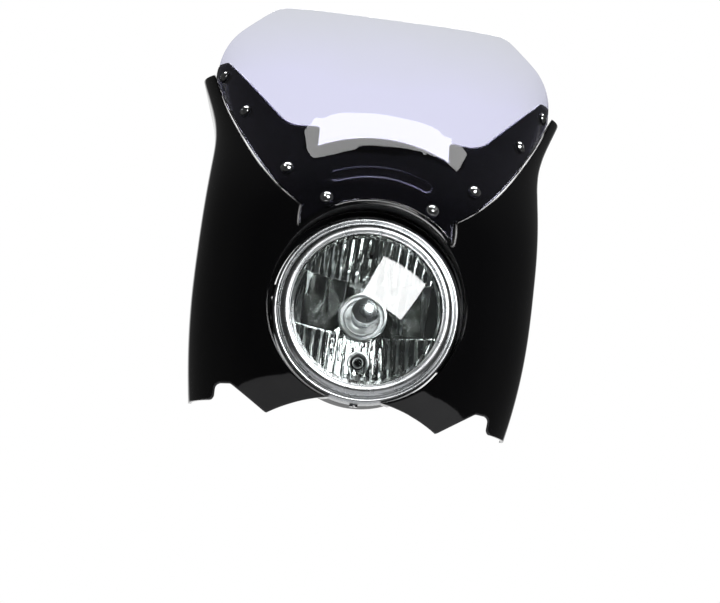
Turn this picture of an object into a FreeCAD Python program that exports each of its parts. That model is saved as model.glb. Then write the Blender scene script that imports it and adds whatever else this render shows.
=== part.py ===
import FreeCAD, Part
import math
import os
from FreeCAD import Vector

# Front cowl of a motorbike with its headlamp, clear windscreen and mounting stay. Millimetres.
# The pieces are drawn about the lamp's axis: X to the right, Y backwards, Z up, with Y = 0 at the lip of
# the lamp's rim. They are then moved so that the origin is the middle of the stay's rear face.

# Cowl skin: a nose line in the side view, and a half ellipse in every level section
wall = 3.5
nose_y = -20.0
nose_depth = 135.0
nose_bend_z = 57.0
nose_bend_height = 100.0
nose_rake = 36.0
crown_radius = 1800.0
chin_z = 20.0
chin_bend_height = 170.0
chin_tuck = 37.0
belly_half_width = 178.5
belly_z = 30.0
belly_lower_radius = 805.0
belly_upper_radius = 3000.0
ear_flare_z = 158.0
ear_flare_height = 80.0
ear_flare = 24.0
seat_flare_height = 70.0
seat_flare = 16.0

# Rear edge of the side panels, in the side view
rear_low_y = 150.0
rear_high_y = 246.0
rear_high_z = 232.0
rear_tip_y = 212.0
rear_tip_z = 277.0
ear_radius = 14.0
ear_tip_z = 259.0

# Lower edge, in the front view
tab_z = -103.0
notch_outer_x = 141.0
notch_inner_x = 126.0
notch_z = -87.0
notch_radius = 5.0
horn_x = 87.0
horn_z = -113.0
horn_radius = 10.0
chin_arch_z = -90.0

# Windscreen and the recessed seat that it lies in
screen_thickness = 3.0
screen_standoff = 1.2
screen_below_skin = 0.5
screen_groove = 1.5
screen_top_z = 338.0
screen_top_radius = 900.0
screen_shoulder_x = 124.0
screen_shoulder_z = 345.0
screen_shoulder_radius = 30.0
screen_half_width = 182.0
screen_side_z = 298.0
screen_side_radius = 60.0
seat_tip_x = 78.0
seat_tip_z = 97.0
seat_low_x = 113.0
seat_low_z = 128.0
seat_mid_x = 148.0
seat_mid_z = 181.0
seat_high_x = 176.0
seat_high_z = 236.0
seat_end_x = 194.0
seat_end_z = 290.0
seat_foot_bulge = 1.0

# Instrument opening between the wings of the seat
opening_corner_x = 67.5
opening_corner_z = 191.0
opening_corner_radius = 4.0
opening_bend_x = 99.0
opening_bend_radius = 30.0
wing_tip_x = 170.0
wing_tip_z = 275.0
wing_tip_radius = 8.0
hood_arch_z = 183.0
hood_arch_radius = 148.0

# Moulded groove in the hood, a band along an arc
hood_groove_radius = 112.0
hood_groove_centre_z = 30.0
hood_groove_half_height = 6.0
hood_groove_half_angle = 24.0
hood_groove_depth = 1.2

# Collar round the lamp
collar_z = 4.5
collar_radius = 100.0
collar_band = 4.5
collar_return_y = 28.0
collar_lip_clearance = 1.5

# Windscreen fixings: four places a side, with the same kit in each
screw_places = [(53.0, 105.5), (95.5, 136.0), (144.5, 208.0), (171.0, 256.0)]
screw_radius = 2.5
screw_head_radius = 5.5
screw_head_height = 3.0
screw_socket_flats = 3.2
screw_socket_depth = 1.6
washer_radius = 6.6
washer_thickness = 0.8
well_nut_radius = 4.6
well_nut_length = 13.0
well_nut_flange_radius = 6.8
well_nut_flange = 0.8
insert_radius = 3.6
insert_length = 6.0

# Headlamp rim and lens unit
rim_radius = 94.5
rim_wall = 1.6
rim_skirt_y = 38.0
rim_band_inset = 7.3
lip_radius = 76.5
lip_thickness = 3.0
# Front of the rim in (distance from its outside, y): skirt edge, bead, groove and the band's outer round
rim_outer_profile = [(0.0, 12.0), (1.4, 9.4), (4.0, 8.4), (5.0, 9.6), (6.6, 9.6),
                     (rim_band_inset, 6.0), (9.1, 2.4)]
# The same from the lip outwards, in (distance from the lip, y): band's inner round, groove and lip
rim_inner_profile = [(5.4, 0.3), (4.0, 0.6), (3.2, 1.4), (2.2, 1.4), (1.4, 0.2), (0.0, 0.4)]
gasket_thickness = 1.0
lens_radius = 80.0
lens_edge = 4.0
lens_crown = 16.5
lens_wall = 3.5
lens_margin = 1.0
reflector_focus = 24.0
reflector_wall = 2.5
reflector_cover = 4.5
reflector_flange = 3.0
reflector_lip = 1.5
bowl_margin = 1.0
facet_count = 12
facet_margin = 3.0
neck_radius = 18.0
neck_wall = 6.0
neck_length = 10.0

# Bulb and what holds it
capsule_radius = 8.0
capsule_length = 46.0
base_thickness = 2.0
base_margin = 1.0
base_collar_radius = 11.0
base_collar_length = 8.0
shield_radius = 13.2
shield_wall = 1.0
shield_length = 20.0
shield_front_y = 14.0
shield_leg_width = 4.0
clip_ring_wall = 1.2
clip_ring_inner_radius = 13.0
boot_wall = 2.5
boot_length = 12.0
connector_width = 30.0
connector_height = 18.0
connector_length = 18.0
connector_radius = 2.0

# Parking lamp, low in the reflector
parking_z = -50.0
parking_bulb_radius = 4.0
parking_bulb_length = 12.0
parking_hole_radius = 7.0
parking_boss_wall = 3.0
parking_boss_y = 60.0
parking_ring_proud = 4.0
parking_flange = 3.0
parking_holder_length = 13.0

# Bucket behind the lens unit
bucket_wall = 1.5
bucket_front_y = 20.0
bucket_side_y = 96.0
bucket_back_y = 138.0
bucket_back_radius = 30.0
cable_hole_radius = 12.0
grommet_lip = 3.0
grommet_bore_radius = 5.0
rim_screw_y = 30.0
rim_screw_radius = 2.0
rim_screw_head_radius = 4.2
rim_screw_head = 2.5
rim_screw_slot = 1.0
rim_screw_slot_depth = 1.2
rim_nut_flats = 7.0
rim_nut_height = 4.0

# Lens clips
clip_count = 4
clip_width = 10.0
clip_thickness = 0.8
clip_overlap = 1.5

# Stay: one folded plate, with a middle plate, two cheeks and two outer flanges
stay_thickness = 4.0
stay_bend = 4.0
cheek_x = 98.0
cheek_half_height = 30.0
flange_y = 56.0
flange_x = 138.0
flange_half_height = 70.0
plate_rear_y = 162.0
plate_half_height = 36.0
stay_corner_radius = 8.0
mount_spacing_x = 90.0
mount_spacing_z = 44.0
mount_hole_radius = 4.25
cable_window_radius = 18.0

# Bolts of the lamp and of the cowl
lamp_bolt_y = 82.0
lamp_bolt_radius = 4.0
lamp_bolt_flats = 13.0
lamp_bolt_head = 5.0
lamp_bolt_length = 18.0
lamp_boss_radius = 12.0
lamp_washer_radius = 9.0
lamp_washer = 1.6
cowl_bolt_x = 121.0
cowl_bolt_z = 52.0
cowl_bolt_radius = 3.0
cowl_bolt_head_radius = 5.0
cowl_bolt_head = 3.5
cowl_bolt_socket_flats = 4.0
cowl_bolt_socket_depth = 2.0
cowl_bolt_length = 22.0
cowl_washer_radius = 8.5
cowl_washer = 1.2
cowl_boss_radius = 9.0
cowl_insert_radius = 4.5
cowl_insert_length = 14.0
grommet_flange = 1.5
grommet_neck_radius = 5.2

# Clearances between pieces that fit in one another
fit = 0.1
hole_clearance = 0.3
skirt_clearance = 0.5
seat_clearance = 0.12
washer_clearance = 0.25

# Reach of the cutting shapes past the cowl, and spacing of the loft's level sections
reach = 400.0
skin_low_z = -150.0
skin_high_z = 400.0
section_step = 22.0
front_y = -90.0
rear_y = 400.0
overrun = 10.0

seat_depth = screen_below_skin + screen_thickness + screen_standoff
bore_y = Vector(0, 1, 0)


def bent(height, bend_height, angle):
    """Offset and slope of a line that is straight below, eases into a bend and runs on at an angle."""
    run = math.tan(math.radians(angle))
    if height <= 0:
        return 0.0, 0.0
    if height >= bend_height:
        return run * (height - bend_height / 2), run
    share = height / bend_height
    return run * bend_height * (share ** 3 - share ** 4 / 2), run * (3 * share ** 2 - 2 * share ** 3)


def nose_line(z):
    """Y of the nose and its slope: upright in the middle, bent back and crowned above, tucked under below."""
    back, slope = bent(z - nose_bend_z, nose_bend_height, nose_rake)
    above = max(z - nose_bend_z - nose_bend_height, 0.0)
    under, tuck = bent(chin_z - z, chin_bend_height, chin_tuck)
    return nose_y + back + above ** 2 / (2 * crown_radius) + under, slope + above / crown_radius + tuck


def belly(z):
    radius = belly_upper_radius if z > belly_z else belly_lower_radius
    return belly_half_width - (z - belly_z) ** 2 / (2 * radius)


def skin_half_width(z):
    """Half width of the cowl's skin: fullest at the belly, drawn in below it and flared at the ears."""
    return belly(z) + bent(z - ear_flare_z, ear_flare_height, ear_flare)[0]


def seat_half_width(z):
    """Half width of the screen's seat, which flares less than the ears beside it."""
    return belly(z) - seat_depth + bent(z - ear_flare_z, seat_flare_height, seat_flare)[0]


def level_ellipse(z, inset, half_width):
    """Nose, centre and half width of a level section that lies inside the skin by an inset."""
    nose, slope = nose_line(z)
    centre = nose + nose_depth
    return nose + inset * math.hypot(1, slope), centre, half_width(z)


def seat_point(x, z, lift):
    """Point over the seat at a place in the front view, and the outward normal there."""
    def depth(px, pz):
        nose, centre, half = level_ellipse(pz, seat_depth, seat_half_width)
        return centre - (centre - nose) * math.sqrt(1 - (px / half) ** 2)
    step = 0.01
    along_x = Vector(2 * step, depth(x + step, z) - depth(x - step, z), 0)
    along_z = Vector(0, depth(x, z + step) - depth(x, z - step), 2 * step)
    normal = along_x.cross(along_z)
    normal.normalize()
    return Vector(x, depth(x, z), z) + normal * lift, normal


def skin_loft(inset, half_width, low, high, rear):
    """Closed body behind a skin: a half ellipse with straight sides at each level, lofted upwards."""
    count = round((high - low) / section_step)
    wires = []
    for level in range(count + 1):
        z = low + (high - low) * level / count
        nose, centre, half = level_ellipse(z, inset, half_width)
        left = Vector(-half, centre, z)
        right = Vector(half, centre, z)
        depth = centre - nose
        if half > depth:
            ellipse = Part.Ellipse(right, Vector(0, nose, z), Vector(0, centre, z))
        else:
            ellipse = Part.Ellipse(Vector(0, nose, z), right, Vector(0, centre, z))
        start, end = ellipse.parameter(left), ellipse.parameter(right)
        arc = Part.ArcOfEllipse(ellipse, start, end)
        if arc.value((arc.FirstParameter + arc.LastParameter) / 2).y > centre:
            arc = Part.ArcOfEllipse(ellipse, end, start)
        edge = arc.toShape()
        first, last = edge.valueAt(edge.FirstParameter), edge.valueAt(edge.LastParameter)
        back_first = Vector(first.x, rear, z)
        back_last = Vector(last.x, rear, z)
        lines = [Part.makeLine(last, back_last), Part.makeLine(back_last, back_first)]
        wires.append(Part.Wire([edge] + lines + [Part.makeLine(back_first, first)]))
    return Part.makeLoft(wires, True, False)


def rounded_wire(corners, place):
    """Closed outline with rounded corners. A corner is (u, v) or (u, v, radius); place makes a 3-D point."""
    edges = []
    joins = []
    count = len(corners)
    for i, corner in enumerate(corners):
        here = Vector(corner[0], corner[1], 0)
        radius = corner[2] if len(corner) > 2 else 0.0
        before = Vector(*corners[i - 1][:2], 0) - here
        after = Vector(*corners[(i + 1) % count][:2], 0) - here
        before.normalize()
        after.normalize()
        half = before.getAngle(after) / 2
        cut = radius / math.tan(half)
        middle = before + after
        middle.normalize()
        crown = here + middle * (radius / math.sin(half) - radius)
        joins.append((here + before * cut, crown, here + after * cut, radius))
    for i, (start, crown, end, radius) in enumerate(joins):
        if radius > 0:
            edges.append(Part.Arc(*(place(p.x, p.y) for p in (start, crown, end))).toShape())
        following = joins[(i + 1) % count][0]
        if (following - end).Length > 1e-6:
            edges.append(Part.makeLine(place(end.x, end.y), place(following.x, following.y)))
    return Part.Wire(edges)


def front_prism(wire):
    """Prism along Y through the whole cowl, from an outline drawn at the front."""
    return Part.Face(wire).extrude(Vector(0, rear_y - front_y, 0))


def at_front(x, z):
    return Vector(x, front_y, z)


def side_prism(corners, low, high):
    """Prism along X from an outline in the side view, given as (y, z)."""
    face = Part.Face(rounded_wire(corners, lambda y, z: Vector(low, y, z)))
    return face.extrude(Vector(high - low, 0, 0))


def turned(profile):
    """Solid of revolution about the lamp's axis from a profile of (radius, y) points."""
    points = [Vector(r, y, 0) for r, y in profile]
    face = Part.Face(Part.makePolygon(points + points[:1]))
    return face.revolve(Vector(0, 0, 0), bore_y, 360)


def rod(radius, start, end):
    """Round bar between two points."""
    axis = end - start
    return Part.makeCylinder(radius, axis.Length, start, axis)


def rod_y(radius, x, z, low, high):
    return rod(radius, Vector(x, low, z), Vector(x, high, z))


def ring_y(outer, inner, x, z, low, high):
    return rod_y(outer, x, z, low, high).cut(rod_y(inner, x, z, low - 1, high + 1))


def hexagon_bar(flats, start, axis, length):
    """Six-sided bar from a point along a unit axis, as a bolt's head, a nut or a socket."""
    side = Vector(1, 0, 0) if abs(axis.z) == 1 else axis.cross(Vector(0, 0, 1))
    side.normalize()
    up = side.cross(axis)
    turns = [k * math.pi / 3 for k in range(6)]
    corner = flats / math.sqrt(3)
    points = [start + (side * math.cos(turn) + up * math.sin(turn)) * corner for turn in turns]
    return Part.Face(Part.makePolygon(points + points[:1])).extrude(axis * length)


def mirrored(shape):
    return shape.mirror(Vector(0, 0, 0), Vector(1, 0, 0))


def both_sides(shape):
    return [shape, mirrored(shape)]


def seat_outline(grow):
    """Outline of the screen's seat in the front view: over the collar and up along both shoulders."""
    shoulder = [(seat_tip_x, seat_tip_z), (seat_low_x, seat_low_z), (seat_mid_x, seat_mid_z),
                (seat_high_x, seat_high_z), (seat_end_x, seat_end_z)]
    moved = []
    for i, (x, z) in enumerate(shoulder):
        before = shoulder[max(i - 1, 0)]
        after = shoulder[min(i + 1, len(shoulder) - 1)]
        run = math.hypot(after[0] - before[0], after[1] - before[1])
        moved.append((x + grow * (after[1] - before[1]) / run, z - grow * (after[0] - before[0]) / run))
    arch = collar_radius + collar_band - grow
    arch_x = moved[0][0]
    arch_end = math.sqrt(arch ** 2 - arch_x ** 2) + collar_z
    curve = Part.BSplineCurve()
    curve.interpolate([at_front(x, z) for x, z in moved])
    right = curve.toShape()
    left = mirrored(right)
    top = skin_high_z + overrun
    tip = at_front(*moved[0])
    end = at_front(*moved[-1])
    arch_right = at_front(arch_x, arch_end)
    arch_left = at_front(-arch_x, arch_end)
    over = Part.Arc(arch_left, at_front(0, arch + collar_z), arch_right).toShape()
    corners = [end, at_front(reach, moved[-1][1]), at_front(reach, top)]
    corners += [at_front(-p.x, p.z) for p in reversed(corners)]
    upper = [Part.makeLine(a, b) for a, b in zip(corners, corners[1:])]
    middle = at_front(arch_x + seat_foot_bulge, (arch_end + tip.z) / 2)
    foot = Part.Arc(arch_right, middle, tip).toShape()
    feet = [foot, mirrored(foot)]
    return Part.Wire(Part.__sortEdges__([over, right, left] + upper + feet))


def lower_edge_cutter():
    """Everything below the lower edge: tabs at the sides, a notch, a horn each side and an arch."""
    right = [(horn_x, horn_z, horn_radius), (notch_inner_x, notch_z, notch_radius),
             (notch_outer_x, notch_z, notch_radius), (notch_outer_x, tab_z, notch_radius), (reach, tab_z)]
    below = skin_low_z - overrun
    left = [(-c[0],) + c[1:] for c in reversed(right)]
    outline = left + right + [(reach, below), (-reach, below)]
    sagitta = chin_arch_z - horn_z
    arch_radius = (horn_x ** 2 + sagitta ** 2) / (2 * sagitta)
    arch = rod_y(arch_radius, 0, chin_arch_z - arch_radius, front_y, rear_y)
    keep = Part.makeBox(2 * horn_x, rear_y - front_y, reach, Vector(-horn_x, front_y, horn_z - 1))
    return front_prism(rounded_wire(outline, at_front)).fuse(arch.common(keep))


def rear_edge_cutter():
    """Everything behind the rear edge, which leans back up to the ears and forward again above them."""
    below = skin_low_z - overrun
    above = skin_high_z + overrun
    outline = [(rear_low_y, below), (rear_low_y, tab_z), (rear_high_y, rear_high_z, ear_radius),
               (rear_tip_y, rear_tip_z), (rear_tip_y, above), (rear_y + overrun, above),
               (rear_y + overrun, below)]
    return side_prism(outline, -reach, reach)


def ear_cutter():
    """Everything above the ears' tips that lies outside the screen's seat."""
    block = Part.makeBox(2 * reach, rear_y - front_y, skin_high_z + overrun - ear_tip_z,
                         Vector(-reach, front_y, ear_tip_z))
    return block.cut(front_prism(seat_outline(0)))


def instrument_opening():
    """Opening between the wings, with the arched top of the hood standing up into its lower edge."""
    low = hood_arch_z - (hood_arch_radius - math.sqrt(hood_arch_radius ** 2 - opening_corner_x ** 2))
    right = [(opening_corner_x, low - 1), (opening_corner_x, opening_corner_z, opening_corner_radius),
             (opening_bend_x, opening_corner_z, opening_bend_radius),
             (wing_tip_x, wing_tip_z, wing_tip_radius), (reach, wing_tip_z), (reach, skin_high_z + overrun)]
    left = [(-c[0],) + c[1:] for c in reversed(right)]
    hood = rod_y(hood_arch_radius, 0, hood_arch_z - hood_arch_radius, front_y - 1, rear_y + 1)
    return front_prism(rounded_wire(left + right, at_front)).cut(hood)


def hood_groove():
    """Shallow groove along an arc over the lamp, with round ends, cut to an even depth."""
    swing = math.radians(hood_groove_half_angle)
    middle = hood_groove_radius

    def on_arc(radius, angle):
        return at_front(radius * math.sin(angle), hood_groove_centre_z + radius * math.cos(angle))
    high = middle + hood_groove_half_height
    low = middle - hood_groove_half_height
    past = swing + hood_groove_half_height / middle
    edges = [Part.Arc(on_arc(high, -swing), on_arc(high, 0), on_arc(high, swing)).toShape(),
             Part.Arc(on_arc(high, swing), on_arc(middle, past), on_arc(low, swing)).toShape(),
             Part.Arc(on_arc(low, swing), on_arc(low, 0), on_arc(low, -swing)).toShape(),
             Part.Arc(on_arc(low, -swing), on_arc(middle, -past), on_arc(high, -swing)).toShape()]
    floor = skin_loft(seat_depth + hood_groove_depth, lambda z: seat_half_width(z) - hood_groove_depth,
                      skin_low_z, skin_high_z, rear_y + overrun)
    return front_prism(Part.Wire(edges)).cut(floor)


def along_screw(radius, place, low, high):
    """Round bar on a windscreen screw's axis, between two lifts over the seat."""
    start, normal = seat_point(place[0], place[1], low)
    return Part.makeCylinder(radius, high - low, start, normal)


def screw_kit(make):
    """The same piece at every windscreen screw, on both sides."""
    return Part.makeCompound([solid for place in screw_places for solid in both_sides(make(place))])


def cowl_boss(x, z):
    return rod_y(cowl_boss_radius, x, z, front_y, flange_y - grommet_flange)


def cowl_bolt_places():
    return [(x, z) for x in (-cowl_bolt_x, cowl_bolt_x) for z in (-cowl_bolt_z, cowl_bolt_z)]


def cowl_shell():
    """Moulded skin with the recessed seat, the collar with its return, and four bosses inside."""
    inner_low = skin_low_z - overrun
    inner_high = skin_high_z + overrun
    inner_rear = rear_y + overrun
    skin = skin_loft(0, skin_half_width, skin_low_z, skin_high_z, rear_y)
    seat = skin_loft(seat_depth, seat_half_width, inner_low, inner_high, inner_rear)
    inside = skin_loft(wall, lambda z: skin_half_width(z) - wall, inner_low, inner_high, inner_rear)
    under_seat = skin_loft(seat_depth + wall, lambda z: seat_half_width(z) - wall, inner_low - 1,
                           inner_high + 1, inner_rear + 1)
    recess = front_prism(seat_outline(0)).cut(seat)
    step_wall = front_prism(seat_outline(wall)).cut(under_seat)
    hollow = inside.cut(step_wall)
    collar_bore = rod_y(collar_radius, 0, collar_z, front_y, collar_return_y - wall)
    lamp_gap = rod_y(rim_radius + collar_lip_clearance, 0, 0, front_y, rear_y)
    collar = rod_y(collar_radius + wall, 0, collar_z, front_y, collar_return_y)
    collar = collar.cut([rod_y(collar_radius, 0, collar_z, front_y, collar_return_y - wall), lamp_gap])
    body = skin.cut(recess)
    shell = body.cut(hollow)
    bosses = [cowl_boss(x, z) for x, z in cowl_bolt_places()]
    shell = shell.fuse([piece.common(body) for piece in [collar] + bosses])
    bores = [rod_y(cowl_insert_radius + fit, x, z, flange_y - grommet_flange - cowl_insert_length, rear_y)
             for x, z in cowl_bolt_places()]
    holes = [along_screw(well_nut_radius + hole_clearance, place, -3 * wall, screen_standoff)
             for place in screw_places]
    holes += [mirrored(hole) for hole in holes]
    cutters = [lower_edge_cutter(), rear_edge_cutter(), ear_cutter(), instrument_opening(), hood_groove()]
    cutters.append(collar_bore)
    return shell.cut(cutters + bores + holes)


def windscreen():
    """Clear sheet that follows the seat at a standoff, with a groove of air round its edge."""
    low = collar_z
    high = skin_high_z
    back = screen_standoff
    face = back + screen_thickness
    outer = skin_loft(screen_below_skin, lambda z: seat_half_width(z) + face, low, high, rear_y)
    inner = skin_loft(seat_depth - back, lambda z: seat_half_width(z) + back, low - overrun,
                      high + overrun, rear_y + overrun)
    right = [(screen_half_width, low), (screen_half_width, screen_side_z, screen_side_radius),
             (screen_shoulder_x, screen_shoulder_z, screen_shoulder_radius)]
    left = [(-c[0],) + c[1:] for c in reversed(right)]
    edge = rounded_wire(right + [(0.0, screen_top_z, screen_top_radius)] + left, at_front)
    outline = front_prism(seat_outline(-screen_groove)).common(front_prism(edge))
    sheet = outer.cut(inner).common(outline)
    holes = [along_screw(screw_radius + hole_clearance, place, 0, 3 * face) for place in screw_places]
    return sheet.cut(holes + [mirrored(hole) for hole in holes])


def windscreen_fixings():
    """Screws, washers, rubber well nuts and their brass inserts."""
    under_head = screen_standoff + screen_thickness + washer_clearance
    head = under_head + washer_thickness
    nut_end = well_nut_flange - well_nut_length

    def screw(place):
        shank = along_screw(screw_radius, place, nut_end, head + fit)
        start, normal = seat_point(place[0], place[1], head)
        dome_radius = (screw_head_radius ** 2 + screw_head_height ** 2) / (2 * screw_head_height)
        dome = Part.makeSphere(dome_radius, start + normal * (screw_head_height - dome_radius))
        cap = along_screw(screw_head_radius + 1, place, head, head + screw_head_height + 1).common(dome)
        floor = start + normal * (screw_head_height - screw_socket_depth)
        socket = hexagon_bar(screw_socket_flats, floor, normal, screw_socket_depth + 1)
        return shank.fuse(cap).cut(socket)

    def washer(place):
        bore = along_screw(screw_radius + fit, place, under_head - 1, head + 1)
        return along_screw(washer_radius, place, under_head, head).cut(bore)

    def well_nut(place):
        flange = along_screw(well_nut_flange_radius, place, seat_clearance, well_nut_flange)
        body = along_screw(well_nut_radius, place, nut_end, well_nut_flange)
        bore = along_screw(screw_radius + fit, place, nut_end - 1, well_nut_flange + 1)
        pocket = along_screw(insert_radius, place, nut_end - 1, nut_end + insert_length)
        return flange.fuse(body).cut([bore, pocket])

    def insert(place):
        sleeve = along_screw(insert_radius - fit, place, nut_end, nut_end + insert_length)
        return sleeve.cut(along_screw(screw_radius + fit, place, nut_end - 1, nut_end + insert_length + 1))
    return {"windscreen_screws": screw_kit(screw), "windscreen_washers": screw_kit(washer),
            "well_nuts": screw_kit(well_nut), "well_nut_inserts": screw_kit(insert)}


# Levels of the lens unit along the lamp's axis, from the rim's lip backwards
lens_y = lip_thickness + gasket_thickness
reflector_y = lens_y + lens_edge
bowl_radius = lens_radius - reflector_wall
bowl_y = reflector_y + reflector_lip
apex_y = bowl_y + bowl_radius ** 2 / (4 * reflector_focus)
neck_y = apex_y + neck_length
flange_back_y = reflector_y + reflector_flange
skirt_inner = rim_radius - rim_wall
shoulder_y = flange_back_y + fit
bucket_radius = skirt_inner - skirt_clearance


def lamp_rim():
    """Stepped bright ring: a bead, a groove, a rounded band and a lip over the lens."""
    band_inside = rim_radius - rim_band_inset - rim_wall
    seat = lens_radius + lens_margin
    front = [(rim_radius, rim_skirt_y)] + [(rim_radius - inset, y) for inset, y in rim_outer_profile]
    front += [(lip_radius + out, y) for out, y in rim_inner_profile]
    back = [(lip_radius, lip_thickness), (seat, lip_thickness), (seat, reflector_y - lens_margin),
            (band_inside, shoulder_y), (skirt_inner, shoulder_y), (skirt_inner, rim_skirt_y)]
    ring = turned(front + back)
    hole = rod(rim_screw_radius + hole_clearance, Vector(0, rim_screw_y, 0), Vector(0, rim_screw_y, -reach))
    return ring.cut(hole)


def lamp_lens():
    """Domed clear lens with a flat edge that is held under the rim's lip."""
    crown_half = lip_radius - lens_margin
    dome_radius = (crown_half ** 2 + lens_crown ** 2) / (2 * lens_crown)
    centre = Vector(0, lens_y - lens_crown + dome_radius, 0)
    edge = rod_y(lens_radius, 0, 0, lens_y, reflector_y)
    front = Part.makeBox(2 * reach, reach, 2 * reach, Vector(-reach, reflector_y - reach, -reach))
    outer = Part.makeSphere(dome_radius, centre).common(front).common(rod_y(crown_half, 0, 0, -reach, reach))
    bore = rod_y(crown_half - lens_wall, 0, 0, -reach, reach)
    inner = Part.makeSphere(dome_radius - lens_wall, centre).common(bore)
    return edge.fuse(outer).cut(inner)


def reflector():
    """Bowl on a parabola with upright facets, a neck for the bulb and a boss for the parking lamp."""
    def bowl_depth(square):
        return apex_y - square / (4 * reflector_focus)

    def parabola(reach_r, lift):
        steps = 10
        radii = [reach_r * k / steps for k in range(steps + 1)]
        curve = Part.BSplineCurve()
        curve.interpolate([Vector(r, bowl_depth(r ** 2) + lift, 0) for r in radii])
        return curve.toShape()
    cover = parabola(bowl_radius, reflector_cover)
    rim_point = cover.valueAt(cover.LastParameter)
    top_point = cover.valueAt(cover.FirstParameter)
    outline = [cover, Part.makeLine(rim_point, Vector(bowl_radius, reflector_y, 0)),
               Part.makeLine(Vector(bowl_radius, reflector_y, 0), Vector(0, reflector_y, 0)),
               Part.makeLine(Vector(0, reflector_y, 0), top_point)]
    bowl = Part.Face(Part.Wire(outline)).revolve(Vector(0, 0, 0), bore_y, 360)
    flange = rod_y(lens_radius, 0, 0, reflector_y, flange_back_y)
    neck = rod_y(neck_radius + neck_wall, 0, 0, apex_y - neck_length, neck_y)
    boss_radius = parking_hole_radius + parking_boss_wall
    boss = rod_y(boss_radius, 0, parking_z, bowl_depth(parking_z ** 2) - parking_ring_proud, parking_boss_y)
    wires = []
    limit = bowl_radius - facet_margin
    for k in range(facet_count + 1):
        x = limit * math.sin(math.pi * (k / facet_count - 0.5))
        half = math.sqrt((bowl_radius - bowl_margin) ** 2 - x ** 2)
        curve = Part.BSplineCurve()
        heights = [half * s / 4 for s in range(-4, 5)]
        curve.interpolate([Vector(x, bowl_depth(x ** 2 + z ** 2), z) for z in heights])
        edge = curve.toShape()
        low, high = edge.valueAt(edge.FirstParameter), edge.valueAt(edge.LastParameter)
        front = -reach
        mouth = [high, Vector(x, front, high.z), Vector(x, front, low.z), low]
        wires.append(Part.Wire([edge] + [Part.makeLine(a, b) for a, b in zip(mouth, mouth[1:])]))
    hollow = Part.makeLoft(wires, True, True)
    solid = bowl.fuse([flange, neck]).cut(hollow).fuse(boss)
    bores = [rod_y(neck_radius, 0, 0, -reach, neck_y + 1),
             rod_y(parking_hole_radius, 0, parking_z, -reach, parking_boss_y + 1)]
    return solid.cut(bores)


def bulb_pieces():
    """Capsule, base, shield, retaining ring, boot and plug block, from the reflector's neck backwards."""
    base_radius = neck_radius + neck_wall - base_margin
    base = rod_y(base_radius, 0, 0, neck_y, neck_y + base_thickness)
    base = base.fuse(rod_y(base_collar_radius, 0, 0, neck_y - base_collar_length, neck_y))
    capsule_end = neck_y - base_collar_length
    tip_y = capsule_end - capsule_length + capsule_radius
    capsule = rod_y(capsule_radius, 0, 0, tip_y, capsule_end)
    capsule = capsule.fuse(Part.makeSphere(capsule_radius, Vector(0, tip_y, 0)))
    inner = shield_radius - shield_wall
    cup = rod_y(shield_radius, 0, 0, shield_front_y, shield_front_y + shield_length)
    cup = cup.cut(rod_y(inner, 0, 0, shield_front_y + shield_wall, reach))
    leg = Part.makeBox(shield_leg_width, neck_y - shield_front_y, 2 * reach,
                       Vector(-shield_leg_width / 2, shield_front_y, -reach))
    cup = cup.fuse(ring_y(shield_radius, inner, 0, 0, shield_front_y, neck_y).common(leg))
    ring_back = neck_y + base_thickness + clip_ring_wall
    ring = ring_y(base_radius, clip_ring_inner_radius, 0, 0, neck_y + base_thickness, ring_back)
    sleeve = neck_radius + neck_wall + hole_clearance
    boot = rod_y(sleeve + boot_wall, 0, 0, ring_back - boot_length, ring_back + boot_wall)
    boot = boot.cut([rod_y(sleeve, 0, 0, -reach, ring_back),
                     rod_y(clip_ring_inner_radius, 0, 0, -reach, reach)])
    half_width, half_height = connector_width / 2, connector_height / 2
    block = rounded_wire([(x, z, connector_radius) for x, z in
                          ((-half_width, -half_height), (half_width, -half_height),
                           (half_width, half_height), (-half_width, half_height))],
                         lambda x, z: Vector(x, ring_back + boot_wall, z))
    plug = Part.Face(block).extrude(Vector(0, connector_length, 0))
    tail_radius = clip_ring_inner_radius - hole_clearance
    plug = plug.fuse(rod_y(tail_radius, 0, 0, neck_y + base_thickness, ring_back + boot_wall))
    return {"main_bulb": capsule, "bulb_base": base, "bulb_shield": cup, "bulb_clip": ring,
            "bulb_boot": boot, "bulb_connector": plug}


def parking_lamp():
    """Small bulb and its holder, pushed into the reflector's boss from behind."""
    holder_radius = parking_hole_radius - hole_clearance
    front = parking_boss_y - parking_holder_length
    holder = rod_y(holder_radius, 0, parking_z, front, parking_boss_y)
    holder = holder.fuse(rod_y(parking_hole_radius + parking_boss_wall, 0, parking_z, parking_boss_y,
                               parking_boss_y + parking_flange))
    bulb_front = front - parking_bulb_length + parking_bulb_radius
    bulb = rod_y(parking_bulb_radius, 0, parking_z, bulb_front, front)
    bulb = bulb.fuse(Part.makeSphere(parking_bulb_radius, Vector(0, bulb_front, parking_z)))
    return {"parking_bulb": bulb, "parking_holder": holder}


def lens_clips():
    """Spring strips that press the lens unit against the rim's lip."""
    inner = lens_radius - clip_overlap
    strip = Part.makeBox(clip_width, clip_thickness, skirt_inner - skirt_clearance - inner,
                         Vector(-clip_width / 2, shoulder_y, inner))
    foot = Part.makeBox(clip_width, shoulder_y - flange_back_y + clip_thickness, clip_thickness,
                        Vector(-clip_width / 2, flange_back_y, inner))
    clip = strip.fuse(foot)
    clips = []
    for k in range(clip_count):
        copy = clip.copy()
        copy.rotate(Vector(0, 0, 0), bore_y, 360.0 * (k + 0.5) / clip_count)
        clips.append(copy)
    return Part.makeCompound(clips)


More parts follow.
